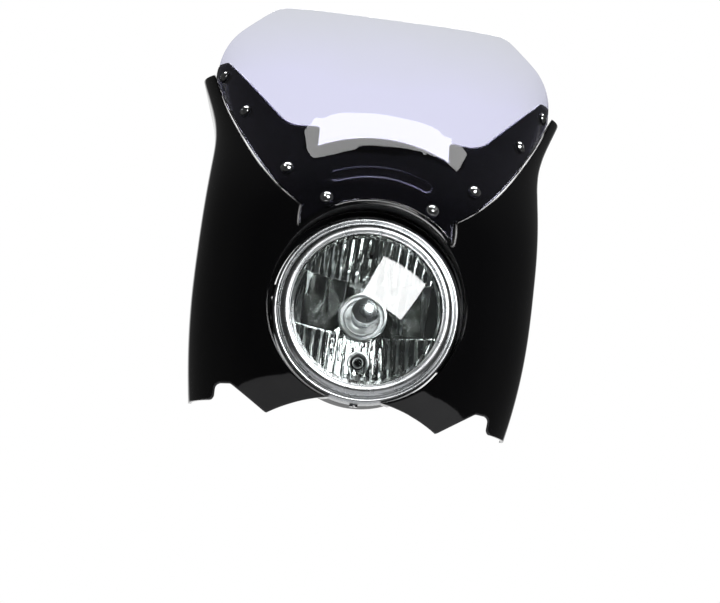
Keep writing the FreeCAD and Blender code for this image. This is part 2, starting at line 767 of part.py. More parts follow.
def lamp_bucket():
    """Pressed bowl with a boss on each side for the lamp's bolts and a hole for the cable."""
    def bowl(radius, back_radius, back_y):
        start = Vector(radius, bucket_side_y, 0)
        end = Vector(back_radius, back_y, 0)
        swing = math.sqrt(0.5)
        crown = Vector(back_radius + (radius - back_radius) * swing,
                       bucket_side_y + (back_y - bucket_side_y) * swing, 0)
        return start, crown, end

    def body(radius, back_radius, back_y, front):
        start, crown, end = bowl(radius, back_radius, back_y)
        edges = [Part.makeLine(Vector(0, front, 0), Vector(radius, front, 0)),
                 Part.makeLine(Vector(radius, front, 0), start), Part.Arc(start, crown, end).toShape(),
                 Part.makeLine(end, Vector(0, back_y, 0)),
                 Part.makeLine(Vector(0, back_y, 0), Vector(0, front, 0))]
        return Part.Face(Part.Wire(edges)).revolve(Vector(0, 0, 0), bore_y, 360)
    outer = body(bucket_radius, bucket_back_radius, bucket_back_y, bucket_front_y)
    inner = body(bucket_radius - bucket_wall, bucket_back_radius - bucket_wall, bucket_back_y - bucket_wall,
                 bucket_front_y - 1)
    boss = rod(lamp_boss_radius, Vector(0, lamp_bolt_y, 0), Vector(cheek_x, lamp_bolt_y, 0))
    bolt_hole = rod(lamp_bolt_radius + fit, Vector(-reach, lamp_bolt_y, 0), Vector(reach, lamp_bolt_y, 0))
    screw_hole = rod(rim_screw_radius + hole_clearance, Vector(0, rim_screw_y, 0),
                     Vector(0, rim_screw_y, -reach))
    cable_hole = rod_y(cable_hole_radius, 0, 0, bucket_side_y, reach)
    return outer.fuse(both_sides(boss)).cut([inner, bolt_hole, screw_hole, cable_hole])


def bucket_fittings():
    """Cable grommet, and the screw and nut that hold the rim on the bucket."""
    lip = cable_hole_radius + grommet_lip
    neck = cable_hole_radius - fit
    inside = bucket_back_y - bucket_wall
    grommet = rod_y(neck, 0, 0, inside - grommet_lip, bucket_back_y + grommet_lip)
    grommet = grommet.fuse([rod_y(lip, 0, 0, inside - grommet_lip, inside),
                            rod_y(lip, 0, 0, bucket_back_y, bucket_back_y + grommet_lip)])
    grommet = grommet.cut(rod_y(grommet_bore_radius, 0, 0, -reach, reach))

    def down(radius, near, far):
        return rod(radius, Vector(0, rim_screw_y, -near), Vector(0, rim_screw_y, -far))
    wall_inside = bucket_radius - bucket_wall
    nut_far = math.sqrt(wall_inside ** 2 - rim_nut_flats ** 2 / 3) - fit
    nut_near = nut_far - rim_nut_height
    head_end = rim_radius + rim_screw_head
    screw = down(rim_screw_radius, nut_near, rim_radius + fit)
    screw = screw.fuse(down(rim_screw_head_radius, rim_radius, head_end))
    slot = Part.makeBox(rim_screw_slot, 2 * rim_screw_head_radius, rim_screw_slot_depth,
                        Vector(-rim_screw_slot / 2, rim_screw_y - rim_screw_head_radius, -head_end))
    screw = screw.cut(slot)
    nut = hexagon_bar(rim_nut_flats, Vector(0, rim_screw_y, -nut_far), Vector(0, 0, 1), rim_nut_height)
    nut = nut.cut(down(rim_screw_radius + fit, 0, rim_radius))
    return {"cable_grommet": grommet, "rim_screw": screw, "rim_nut": nut}


def stay():
    """Folded plate: the middle plate bolts to the machine, the cheeks hold the lamp, the flanges the cowl."""
    outside = cheek_x + stay_thickness
    outer_bend = stay_bend + stay_thickness
    plate_y = plate_rear_y - stay_thickness
    flange_back = flange_y + stay_thickness
    right = [(flange_x, flange_back), (flange_x, flange_y), (cheek_x, flange_y, outer_bend),
             (cheek_x, plate_y, stay_bend)]
    outer = [(outside, plate_rear_y, outer_bend), (outside, flange_back, stay_bend)]
    left = [(-c[0],) + c[1:] for c in reversed(right)]
    outer_left = [(-c[0],) + c[1:] for c in reversed(outer)]
    wire = rounded_wire(right + left + outer_left + outer, lambda x, y: Vector(x, y, -flange_half_height))
    folded = Part.Face(wire).extrude(Vector(0, 0, 2 * flange_half_height))
    neck_y0 = flange_back + stay_bend
    side = [(flange_y - 1, flange_half_height), (flange_back, flange_half_height, stay_corner_radius / 4),
            (neck_y0 + stay_corner_radius, cheek_half_height, stay_corner_radius),
            (plate_y - stay_bend, cheek_half_height, stay_corner_radius),
            (plate_y, plate_half_height, stay_corner_radius / 4), (plate_rear_y + 1, plate_half_height)]
    lower = [(c[0], -c[1]) + c[2:] for c in reversed(side)]
    folded = folded.common(side_prism(side + lower, -reach, reach))
    front = Part.Face(rounded_wire([(flange_x, flange_half_height, stay_corner_radius),
                                    (-flange_x, flange_half_height, stay_corner_radius),
                                    (-flange_x, -flange_half_height, stay_corner_radius),
                                    (flange_x, -flange_half_height, stay_corner_radius)], at_front))
    folded = folded.common(front.extrude(Vector(0, rear_y - front_y, 0)))
    holes = [rod_y(mount_hole_radius, x, z, plate_y - 1, rear_y)
             for x in (-mount_spacing_x / 2, mount_spacing_x / 2)
             for z in (-mount_spacing_z / 2, mount_spacing_z / 2)]
    holes.append(rod_y(cable_window_radius, 0, 0, plate_y - 1, rear_y))
    holes += [rod_y(grommet_neck_radius + fit, x, z, flange_y - 1, flange_back + 1)
              for x, z in cowl_bolt_places()]
    holes.append(rod(lamp_bolt_radius + hole_clearance, Vector(-reach, lamp_bolt_y, 0),
                     Vector(reach, lamp_bolt_y, 0)))
    return folded.cut(holes)


def lamp_bolts():
    """Bolts through the cheeks into the bucket's bosses, each with a washer."""
    face = cheek_x + stay_thickness
    head = face + lamp_washer

    def across(radius, near, far):
        return rod(radius, Vector(near, lamp_bolt_y, 0), Vector(far, lamp_bolt_y, 0))
    bolt = across(lamp_bolt_radius, head - lamp_bolt_length, head + fit)
    head_start = Vector(head, lamp_bolt_y, 0)
    bolt = bolt.fuse(hexagon_bar(lamp_bolt_flats, head_start, Vector(1, 0, 0), lamp_bolt_head))
    washer = across(lamp_washer_radius, face, head).cut(across(lamp_bolt_radius + fit, face - 1, head + 1))
    return {"lamp_bolts": Part.makeCompound(both_sides(bolt)),
            "lamp_washers": Part.makeCompound(both_sides(washer))}


def cowl_fixings():
    """Bolts from behind through rubber grommets in the flanges into brass inserts in the cowl's bosses."""
    boss_end = flange_y - grommet_flange
    grommet_back = flange_y + stay_thickness + grommet_flange
    head = grommet_back + cowl_washer
    kit = {"cowl_bolts": [], "cowl_washers": [], "cowl_grommets": [], "cowl_inserts": []}
    for x, z in cowl_bolt_places():
        bolt = rod_y(cowl_bolt_radius, x, z, head - cowl_bolt_length, head + fit)
        bolt = bolt.fuse(rod_y(cowl_bolt_head_radius, x, z, head, head + cowl_bolt_head))
        floor = Vector(x, head + cowl_bolt_head - cowl_bolt_socket_depth, z)
        socket = hexagon_bar(cowl_bolt_socket_flats, floor, bore_y, cowl_bolt_socket_depth + 1)
        kit["cowl_bolts"].append(bolt.cut(socket))
        washer_bore = cowl_bolt_radius + fit
        kit["cowl_washers"].append(ring_y(cowl_washer_radius, washer_bore, x, z, grommet_back, head))
        neck = rod_y(grommet_neck_radius, x, z, boss_end, grommet_back)
        lips = [rod_y(cowl_boss_radius, x, z, boss_end, flange_y),
                rod_y(cowl_boss_radius, x, z, flange_y + stay_thickness, grommet_back)]
        bore = rod_y(cowl_bolt_radius + fit, x, z, front_y, rear_y)
        kit["cowl_grommets"].append(neck.fuse(lips).cut(bore))
        insert = rod_y(cowl_insert_radius, x, z, boss_end - cowl_insert_length, boss_end)
        kit["cowl_inserts"].append(insert.cut(bore))
    return {name: Part.makeCompound(solids) for name, solids in kit.items()}


def lens_gasket():
    return ring_y(lens_radius, lip_radius, 0, 0, lip_thickness, lens_y)


pieces = {"cowl_shell": cowl_shell(), "windscreen": windscreen()}
pieces.update(windscreen_fixings())
pieces.update({"lamp_rim": lamp_rim(), "lens_gasket": lens_gasket(), "lamp_lens": lamp_lens()})
pieces["reflector"] = reflector()
pieces.update(bulb_pieces())
pieces.update(parking_lamp())
pieces.update({"lens_clips": lens_clips(), "lamp_bucket": lamp_bucket()})
pieces.update(bucket_fittings())
pieces["stay"] = stay()
pieces.update(lamp_bolts())
pieces.update(cowl_fixings())

os.makedirs("parts", exist_ok=True)
for name, shape in pieces.items():
    shape.translate(Vector(0, -plate_rear_y, 0))
    shape.exportStep("parts/" + name + ".step")
    print(name, len(shape.Solids), "solids", round(shape.Volume), "mm3", shape.isValid())
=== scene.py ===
import math

import bpy
from mathutils import Matrix, Vector


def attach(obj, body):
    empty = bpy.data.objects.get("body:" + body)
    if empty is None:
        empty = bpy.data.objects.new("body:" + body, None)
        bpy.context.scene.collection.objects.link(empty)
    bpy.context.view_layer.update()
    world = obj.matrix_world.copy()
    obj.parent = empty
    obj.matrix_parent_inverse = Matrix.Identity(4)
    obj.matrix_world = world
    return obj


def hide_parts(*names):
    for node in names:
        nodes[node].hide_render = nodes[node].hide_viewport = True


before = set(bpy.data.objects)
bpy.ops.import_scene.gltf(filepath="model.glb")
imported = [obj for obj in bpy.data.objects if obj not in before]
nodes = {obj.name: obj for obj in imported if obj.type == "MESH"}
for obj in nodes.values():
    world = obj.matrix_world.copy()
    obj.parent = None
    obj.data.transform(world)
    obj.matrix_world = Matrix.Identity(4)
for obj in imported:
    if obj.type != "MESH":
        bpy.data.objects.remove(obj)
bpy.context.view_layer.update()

# Stay and lamp bucket
# A folded steel plate carries the lamp between its cheeks and the cowl on its flanges; the bucket is a
# pressed steel bowl. Both are powder coated in black, which leaves a fine orange peel and a soft gloss.
MM = 0.001


def linear(code):
    """Linear colour with alpha 1 from an sRGB hex value."""
    parts = [int(code[i:i + 2], 16) / 255 for i in (1, 3, 5)]
    return [p / 12.92 if p <= 0.04045 else ((p + 0.055) / 1.055) ** 2.4 for p in parts] + [1.0]


def add_node(tree, kind, settings, **links):
    """Adds a shader node. A setting is a property or a socket's value; a link is socket = (node, output).
    Sockets that share one name go by number: 1 in a setting, in_1 in a link."""
    node = tree.nodes.new("ShaderNode" + kind)
    for name, value in settings.items():
        if isinstance(name, int) or name in node.inputs:
            node.inputs[name].default_value = value
        else:
            setattr(node, name, value)
    for name, (source, output) in links.items():
        socket = int(name[3:]) if name.startswith("in_") else name.replace("_", " ")
        tree.links.new(source.outputs[output], node.inputs[socket])
    return node


def new_material(name):
    """Empty material and its node tree."""
    made = bpy.data.materials.new(name)
    made.use_nodes = True
    made.node_tree.nodes.clear()
    return made, made.node_tree


def ramp_colours(ramp, stops):
    """Sets a colour ramp's stops from (position, hex) pairs."""
    elements = ramp.color_ramp.elements
    while len(elements) < len(stops):
        elements.new(1.0)
    for element, (place, code) in zip(elements, stops):
        element.position = place
        element.color = linear(code)


def paint(names, material):
    """Gives CAD nodes one material."""
    for name in names:
        nodes[name].data.materials.clear()
        nodes[name].data.materials.append(material)


# Powder coat: orange peel about 1.5 mm across, gloss that varies a little from place to place
black_enamel, tree = new_material("powder_coated_steel")
place = add_node(tree, "TexCoord", {})
peel = add_node(tree, "TexNoise", {"Scale": 1 / (1.5 * MM), "Detail": 2.0}, Vector=(place, "Object"))
cloud = add_node(tree, "TexNoise", {"Scale": 1 / (40 * MM), "Detail": 3.0}, Vector=(place, "Object"))
shade = add_node(tree, "ValToRGB", {}, Fac=(cloud, "Fac"))
ramp_colours(shade, [(0.3, "#121314"), (0.7, "#1b1c1e")])
gloss = add_node(tree, "MapRange", {"To Min": 0.32, "To Max": 0.46}, Value=(cloud, "Fac"))
edge = add_node(tree, "Bevel", {"samples": 6, "Radius": 0.6 * MM})
bump = add_node(tree, "Bump", {"Strength": 0.25, "Distance": 0.05 * MM}, Height=(peel, "Fac"),
                Normal=(edge, "Normal"))
skin = add_node(tree, "BsdfPrincipled", {"IOR": 1.5}, Base_Color=(shade, "Color"),
                Roughness=(gloss, "Result"), Normal=(bump, "Normal"))
add_node(tree, "OutputMaterial", {}, Surface=(skin, "BSDF"))
paint(["stay", "lamp_bucket"], black_enamel)

# Bolts, washers and clips
# Turned and pressed steel with a dull zinc plating, fitted from behind and from the sides.
# The plating is a little blotchy and fine grained; its grain is drawn coarser than real, so that it shows.
zinc, tree = new_material("zinc_plated_steel")
place = add_node(tree, "TexCoord", {})
grain = add_node(tree, "TexNoise", {"Scale": 1 / (0.8 * MM), "Detail": 3.0}, Vector=(place, "Object"))
cloud = add_node(tree, "TexNoise", {"Scale": 1 / (6 * MM), "Detail": 2.0}, Vector=(place, "Object"))
shade = add_node(tree, "ValToRGB", {}, Fac=(cloud, "Fac"))
ramp_colours(shade, [(0.3, "#8e9194"), (0.7, "#b4b6b8")])
gloss = add_node(tree, "MapRange", {"To Min": 0.24, "To Max": 0.42}, Value=(grain, "Fac"))
edge = add_node(tree, "Bevel", {"samples": 6, "Radius": 0.4 * MM})
bump = add_node(tree, "Bump", {"Strength": 0.15, "Distance": 0.02 * MM}, Height=(grain, "Fac"),
                Normal=(edge, "Normal"))
skin = add_node(tree, "BsdfPrincipled", {"Metallic": 1.0}, Base_Color=(shade, "Color"),
                Roughness=(gloss, "Result"), Normal=(bump, "Normal"))
add_node(tree, "OutputMaterial", {}, Surface=(skin, "BSDF"))
paint(["lamp_bolts", "lamp_washers", "cowl_bolts", "cowl_washers"], zinc)
paint(["rim_nut", "lens_clips", "bulb_base", "bulb_clip"], zinc)

# Rubber grommets, well nuts, boot and gasket
# Moulded black rubber, pushed into the holes that it cushions or seals. The skin is dull, with a faint bloom
# and a slight grain that is drawn coarser than real.
rubber, tree = new_material("moulded_rubber")
place = add_node(tree, "TexCoord", {})
grain = add_node(tree, "TexNoise", {"Scale": 1 / (0.7 * MM), "Detail": 4.0}, Vector=(place, "Object"))
bloom = add_node(tree, "TexNoise", {"Scale": 1 / (9 * MM), "Detail": 2.0}, Vector=(place, "Object"))
shade = add_node(tree, "ValToRGB", {}, Fac=(bloom, "Fac"))
ramp_colours(shade, [(0.3, "#131314"), (0.75, "#242426")])
gloss = add_node(tree, "MapRange", {"To Min": 0.62, "To Max": 0.85}, Value=(grain, "Fac"))
bump = add_node(tree, "Bump", {"Strength": 0.4, "Distance": 0.05 * MM}, Height=(grain, "Fac"))
skin = add_node(tree, "BsdfPrincipled", {"IOR": 1.52}, Base_Color=(shade, "Color"),
                Roughness=(gloss, "Result"), Normal=(bump, "Normal"))
add_node(tree, "OutputMaterial", {}, Surface=(skin, "BSDF"))
paint(["well_nuts", "lens_gasket", "bulb_boot", "cable_grommet", "cowl_grommets"], rubber)

# Threaded inserts
# Turned brass sleeves, pressed into the cowl's bosses and moulded into the well nuts.
# The tool leaves rings about the axis, drawn coarser than real, and the metal has dulled a little.
brass, tree = new_material("turned_brass")
place = add_node(tree, "TexCoord", {})
rings = add_node(tree, "TexWave", {"Scale": 1 / (0.6 * MM) / math.tau, "Distortion": 1.5,
                                   "bands_direction": "Y"}, Vector=(place, "Object"))
dull = add_node(tree, "TexNoise", {"Scale": 1 / (4 * MM), "Detail": 2.0}, Vector=(place, "Object"))
shade = add_node(tree, "ValToRGB", {}, Fac=(dull, "Fac"))
ramp_colours(shade, [(0.3, "#a8823c"), (0.7, "#c9a45a")])
bump = add_node(tree, "Bump", {"Strength": 0.2, "Distance": 0.02 * MM}, Height=(rings, "Fac"))
skin = add_node(tree, "BsdfPrincipled", {"Metallic": 1.0, "Roughness": 0.3}, Base_Color=(shade, "Color"),
                Normal=(bump, "Normal"))
add_node(tree, "OutputMaterial", {}, Surface=(skin, "BSDF"))
paint(["well_nut_inserts", "cowl_inserts"], brass)

# Bulb holder, plug block and washers under the screws
# Injection moulded black nylon, clipped into the lamp or laid under the screws' heads.
# The mould leaves a spark-eroded grain, drawn coarser than real.
nylon, tree = new_material("moulded_nylon")
place = add_node(tree, "TexCoord", {})
grain = add_node(tree, "TexNoise", {"Scale": 1 / (0.5 * MM), "Detail": 3.0}, Vector=(place, "Object"))
shade = add_node(tree, "ValToRGB", {}, Fac=(grain, "Fac"))
ramp_colours(shade, [(0.3, "#121213"), (0.7, "#1c1c1e")])
edge = add_node(tree, "Bevel", {"samples": 6, "Radius": 0.3 * MM})
bump = add_node(tree, "Bump", {"Strength": 0.3, "Distance": 0.03 * MM}, Height=(grain, "Fac"),
                Normal=(edge, "Normal"))
skin = add_node(tree, "BsdfPrincipled", {"IOR": 1.53, "Roughness": 0.48}, Base_Color=(shade, "Color"),
                Normal=(bump, "Normal"))
add_node(tree, "OutputMaterial", {}, Surface=(skin, "BSDF"))
paint(["bulb_connector", "parking_holder", "windscreen_washers"], nylon)

# Reflector
# A moulded bowl with a vacuum-deposited aluminium mirror. Rows of upright flutes above and below the bulb
# spread the beam, and plain flat panels lie to the left and right of it, a small step proud.

# Sizes in millimetres; depths count backwards from the rim's lip
LIP_Y = -162.0
APEX_DEPTH = 72.07
FOCUS = 24.0
FLANGE_DEPTH = 8.2
BOWL_REACH = 80.0
BOWL_RADIUS = 79.6
BOWL_WALL = 3.4
BOWL_CREASE = math.radians(18)
UPPER_STEP_Z = 33.0
LOWER_STEP_Z = -20.0
RISER = 0.2
UPPER_PROUD = 3.4
FLUTE_PITCH = 8.4
FLUTE_RISE = 1.1
FLUTE_PARTS = 8
PANEL_EDGES = [0.0, 21.0, 42.0, 63.0, 84.0]
PANEL_PROUD = 1.6
NECK_RADIUS = 22.8
PARKING_Z = -50.0
PARKING_RADIUS = 8.0
VENT_Z = 58.0
VENT_RADIUS = 1.9
CUT_FROM = -20.0
CUT_TO = 120.0


def bowl_depth(x, z):
    """Depth of the plain bowl, which is a paraboloid."""
    return APEX_DEPTH - (x * x + z * z) / (4 * FOCUS)


def panel_depth(x, z):
    """Depth of the flat upright panels: straight between the panels' edges."""
    side = abs(x)
    for near, far in zip(PANEL_EDGES, PANEL_EDGES[1:]):
        if side <= far:
            share = (side - near) / (far - near)
            return bowl_depth(near, z) * (1 - share) + bowl_depth(far, z) * share - PANEL_PROUD
    return bowl_depth(x, z)


def flute_depth(x, z):
    """Depth of the rounded flutes, each crowned towards the lens."""
    along = x / FLUTE_PITCH + 0.5
    off = 2 * (along - math.floor(along)) - 1
    middle = math.floor(along) * FLUTE_PITCH
    lean = (bowl_depth(middle + 0.5, z) - bowl_depth(middle - 0.5, z)) * (x - middle)
    return bowl_depth(middle, z) + lean - FLUTE_RISE * (1 - off * off)


def cut_by(piece, cutter, operation):
    """Boolean with another object, which is then removed."""
    bpy.ops.object.select_all(action="DESELECT")
    piece.select_set(True)
    bpy.context.view_layer.objects.active = piece
    boolean = piece.modifiers.new("cut", "BOOLEAN")
    boolean.object = cutter
    boolean.operation = operation
    boolean.solver = "EXACT"
    bpy.ops.object.modifier_apply(modifier=boolean.name)
    bpy.data.objects.remove(cutter)


def round_cutter(radius, z, sides):
    """Round bar along the lamp's axis, longer than the bowl is deep."""
    bpy.ops.object.select_all(action="DESELECT")
    bpy.ops.mesh.primitive_cylinder_add(vertices=sides, radius=radius * MM, depth=(CUT_TO - CUT_FROM) * MM,
                                        location=(0, ((CUT_FROM + CUT_TO) / 2 + LIP_Y) * MM, z * MM),
                                        rotation=(math.pi / 2, 0, 0))
    bpy.ops.object.transform_apply(location=True, rotation=True, scale=True)
    return bpy.context.object


columns = [-BOWL_REACH]
while columns[-1] < BOWL_REACH:
    columns.append(columns[-1] + FLUTE_PITCH / FLUTE_PARTS)
rows = []
for low, high, parts in ((-BOWL_REACH, LOWER_STEP_Z, 30), (LOWER_STEP_Z + RISER, UPPER_STEP_Z, 26),
                         (UPPER_STEP_Z + RISER, BOWL_REACH + RISER, 24)):
    rows += [low + (high - low) * k / parts for k in range(parts + 1)]
bpy.ops.object.select_all(action="DESELECT")
bpy.ops.mesh.primitive_grid_add(x_subdivisions=len(columns) - 1, y_subdivisions=len(rows) - 1, size=1)
reflector_bowl = bpy.context.object
reflector_bowl.name = "reflector_bowl"
for index, vertex in enumerate(reflector_bowl.data.vertices):
    x = columns[index % len(columns)]
    z = rows[index // len(columns)]
    depth = panel_depth(x, z)
    if z > UPPER_STEP_Z + RISER / 2:
        depth = flute_depth(x, z) - UPPER_PROUD
    elif z < LOWER_STEP_Z + RISER / 2:
        depth = flute_depth(x, z)
    vertex.co = (x * MM, (max(depth, FLANGE_DEPTH) + LIP_Y) * MM, z * MM)
bpy.ops.object.mode_set(mode="EDIT")
bpy.ops.mesh.select_all(action="SELECT")
bpy.ops.mesh.extrude_region_move(TRANSFORM_OT_translate={"value": (0, BOWL_WALL * MM, 0)})
bpy.ops.mesh.select_all(action="SELECT")
bpy.ops.mesh.normals_make_consistent(inside=False)
bpy.ops.object.mode_set(mode="OBJECT")
cut_by(reflector_bowl, round_cutter(BOWL_RADIUS, 0, 180), "INTERSECT")
cut_by(reflector_bowl, round_cutter(NECK_RADIUS, 0, 96), "DIFFERENCE")
cut_by(reflector_bowl, round_cutter(PARKING_RADIUS, PARKING_Z, 96), "DIFFERENCE")
cut_by(reflector_bowl, round_cutter(VENT_RADIUS, VENT_Z, 32), "DIFFERENCE")
bpy.ops.object.shade_smooth_by_angle(angle=BOWL_CREASE)

# Aluminium mirror on lacquer: bright, with the faintest haze and a shallow ripple drawn out upright
mirror, tree = new_material("aluminised_mirror")
place = add_node(tree, "TexCoord", {})
haze = add_node(tree, "TexNoise", {"Scale": 1 / (14 * MM), "Detail": 3.0}, Vector=(place, "Object"))
upright = add_node(tree, "Mapping", {"Scale": (1.0, 1.0, 0.3)}, Vector=(place, "Object"))
ripple = add_node(tree, "TexNoise", {"Scale": 1 / (10 * MM), "Detail": 1.0}, Vector=(upright, "Vector"))
shade = add_node(tree, "ValToRGB", {}, Fac=(haze, "Fac"))
ramp_colours(shade, [(0.3, "#d9dcdb"), (0.7, "#eceeed")])
gloss = add_node(tree, "MapRange", {"To Min": 0.03, "To Max": 0.09}, Value=(haze, "Fac"))
bump = add_node(tree, "Bump", {"Strength": 0.5, "Distance": 0.5 * MM}, Height=(ripple, "Fac"))
skin = add_node(tree, "BsdfPrincipled", {"Metallic": 1.0}, Base_Color=(shade, "Color"),
                Roughness=(gloss, "Result"), Normal=(bump, "Normal"))
add_node(tree, "OutputMaterial", {}, Surface=(skin, "BSDF"))
reflector_bowl.data.materials.append(mirror)
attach(reflector_bowl, "root")
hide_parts("reflector")

# Bulb glass
# Drawn clear glass capsules: the main bulb behind its shield and the small parking bulb below it.
# They are held by their bases in the reflector's two holes. The glass is faintly smoky in places.
bulb_glass, tree = new_material("bulb_glass")
place = add_node(tree, "TexCoord", {})
smoke = add_node(tree, "TexNoise", {"Scale": 1 / (5 * MM), "Detail": 2.0}, Vector=(place, "Object"))
shade = add_node(tree, "ValToRGB", {}, Fac=(smoke, "Fac"))
ramp_colours(shade, [(0.3, "#eef0ee"), (0.75, "#d4d6d2")])
skin = add_node(tree, "BsdfPrincipled", {"IOR": 1.5, "Roughness": 0.02, "Transmission Weight": 1.0},
                Base_Color=(shade, "Color"))
add_node(tree, "OutputMaterial", {}, Surface=(skin, "BSDF"))
paint(["main_bulb", "parking_bulb"], bulb_glass)

# Rim and bulb shield
# The rim is a spun brass ring, chromed and polished: a bead at the outside, a groove, a broad rounded band,
# a second groove and a thin lip over the lens. The shield is a small chromed cup in front of the bulb.
RING_CREASE = math.radians(32)


def arc_points(centre, radius, start, end, count):
    """Points on an arc of a section, in (radius, depth), with angles in degrees."""
    turns = [math.radians(start + (end - start) * k / (count - 1)) for k in range(count)]
    return [(centre[0] + radius * math.cos(t), centre[1] + radius * math.sin(t)) for t in turns]


def spun(name, section, steps):
    """Closed section of (radius, depth) points in millimetres, turned about the lamp's axis."""
    bpy.ops.object.select_all(action="DESELECT")
    bpy.ops.mesh.primitive_circle_add(vertices=len(section), radius=MM)
    piece = bpy.context.object
    piece.name = name
    for vertex, (radius, depth) in zip(piece.data.vertices, section):
        vertex.co = (radius * MM, (depth + LIP_Y) * MM, 0)
    bpy.ops.object.mode_set(mode="EDIT")
    bpy.ops.mesh.select_all(action="SELECT")
    bpy.ops.mesh.spin(steps=steps, angle=2 * math.pi, center=(0, 0, 0), axis=(0, 1, 0))
    bpy.ops.mesh.select_all(action="SELECT")
    bpy.ops.mesh.remove_doubles(threshold=1e-7)
    bpy.ops.mesh.normals_make_consistent(inside=False)
    bpy.ops.object.mode_set(mode="OBJECT")
    bpy.ops.object.shade_smooth_by_angle(angle=RING_CREASE)
    return piece


section = [(94.5, 38.0), (94.5, 12.0)]
section += arc_points((91.7, 11.2), 2.8, 10, -100, 9)
section += arc_points((88.7, 8.6), 1.2, 30, 150, 7)
section += arc_points((81.0, 6.6), 6.3, 0, -90, 13)
section += [(79.8, 0.5), (79.2, 1.3), (78.7, 1.4), (78.3, 1.2)]
section += arc_points((77.4, 1.0), 0.9, 0, -180, 7)
section += [(76.5, 3.0), (81.0, 3.0), (81.0, 7.0), (85.6, 11.1), (92.9, 11.1), (92.9, 38.0), (93.7, 38.3)]
lamp_ring = spun("lamp_ring", section, 192)
section = arc_points((0.0, 38.0), 24.0, -90, -62, 9)
section += arc_points((11.6, 18.4), 1.6, -50, 0, 5) + [(13.2, 33.0)]
section += arc_points((12.9, 34.0), 0.6, -60, 120, 6) + [(12.2, 33.0), (12.2, 19.0)]
section += arc_points((0.0, 38.0), 23.0, -62, -90, 9)
bulb_cup = spun("bulb_cup", section, 64)

# Polished chrome: pale, with soft reflections and lines that run round the ring, drawn coarser than real
chrome, tree = new_material("polished_chrome")
place = add_node(tree, "TexCoord", {})
flat = add_node(tree, "VectorMath", {"operation": "MULTIPLY", 1: (1, 0, 1)}, in_0=(place, "Object"))
span = add_node(tree, "VectorMath", {"operation": "LENGTH"}, in_0=(flat, "Vector"))
lines = add_node(tree, "TexNoise", {"noise_dimensions": "1D", "Scale": 1 / (0.5 * MM), "Detail": 2.0},
                 W=(span, "Value"))
haze = add_node(tree, "TexNoise", {"Scale": 1 / (20 * MM), "Detail": 3.0}, Vector=(place, "Object"))
shade = add_node(tree, "ValToRGB", {}, Fac=(haze, "Fac"))
ramp_colours(shade, [(0.3, "#bfc2c4"), (0.7, "#cdcfd0")])
gloss = add_node(tree, "MapRange", {"To Min": 0.22, "To Max": 0.34}, Value=(haze, "Fac"))
bump = add_node(tree, "Bump", {"Strength": 0.1, "Distance": 0.02 * MM}, Height=(lines, "Fac"))
skin = add_node(tree, "BsdfPrincipled", {"Metallic": 1.0}, Base_Color=(shade, "Color"),
                Roughness=(gloss, "Result"), Normal=(bump, "Normal"))
add_node(tree, "OutputMaterial", {}, Surface=(skin, "BSDF"))
for piece, node in ((lamp_ring, "lamp_rim"), (bulb_cup, "bulb_shield")):
    piece.data.materials.append(chrome)
    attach(piece, "root")
    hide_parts(node)

# Collars of the bulb and of the parking lamp
# Turned aluminium rings, pressed into the reflector's two holes: a flange with a lip and a groove behind the
# bulb's shield, and a rounded ring with a dark gap and a small bright socket round the parking bulb.
section = [(24.0, 63.5)] + arc_points((23.0, 63.5), 1.0, 0, -140, 6) + [(21.8, 69.0), (19.4, 69.0)]
section += arc_points((18.6, 67.4), 0.8, 0, -120, 6)
section += [(17.6, 67.9), (11.5, 68.6), (11.0, 73.0), (11.0, 80.0), (24.0, 80.0)]
bulb_collar = spun("bulb_collar", section, 96)
section = [(11.6, 46.0)] + arc_points((9.9, 41.2), 1.7, 0, -180, 9)
section += [(7.4, 45.5), (7.4, 46.8), (10.0, 46.8)]
parking_ring = spun("parking_ring", section, 64)
section = [(5.6, 46.9), (5.6, 44.2)] + arc_points((5.1, 44.2), 0.5, 0, -180, 6) + [(4.2, 46.9)]
parking_socket = spun("parking_socket", section, 48)
for piece in (parking_ring, parking_socket):
    bpy.ops.object.select_all(action="DESELECT")
    piece.select_set(True)
    bpy.context.view_layer.objects.active = piece
    bpy.ops.transform.translate(value=(0, 0, PARKING_Z * MM))
    bpy.ops.object.transform_apply(location=True, rotation=False, scale=False)

# Satin aluminium: turning marks, drawn coarser than real, spread the light into soft pale rings
satin, tree = new_material("turned_aluminium")
place = add_node(tree, "TexCoord", {})
marks = add_node(tree, "TexNoise", {"Scale": 1 / (0.6 * MM), "Detail": 2.0}, Vector=(place, "Object"))
shade = add_node(tree, "ValToRGB", {}, Fac=(marks, "Fac"))
ramp_colours(shade, [(0.3, "#eaeced"), (0.7, "#f6f7f8")])
gloss = add_node(tree, "MapRange", {"To Min": 0.25, "To Max": 0.35}, Value=(marks, "Fac"))
skin = add_node(tree, "BsdfPrincipled", {"Metallic": 1.0}, Base_Color=(shade, "Color"),
                Roughness=(gloss, "Result"))
add_node(tree, "OutputMaterial", {}, Surface=(skin, "BSDF"))
for piece in (bulb_collar, parking_ring, parking_socket):
    piece.data.materials.append(satin)
    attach(piece, "root")

# Lens
# A pressed dome of clear glass, clipped under the rim's lip with its flat edge on the gasket.
# Pressing leaves the faintest long waves in the surface.
lens_glass, tree = new_material("pressed_glass")
place = add_node(tree, "TexCoord", {})
waves = add_node(tree, "TexNoise", {"Scale": 1 / (30 * MM), "Detail": 1.0}, Vector=(place, "Object"))
bump = add_node(tree, "Bump", {"Strength": 0.03, "Distance": 0.3 * MM}, Height=(waves, "Fac"))
skin = add_node(tree, "BsdfPrincipled", {"Base Color": linear("#f3f6f6"), "IOR": 1.52, "Roughness": 0.0,
                                         "Transmission Weight": 1.0}, Normal=(bump, "Normal"))
add_node(tree, "OutputMaterial", {}, Surface=(skin, "BSDF"))
paint(["lamp_lens"], lens_glass)

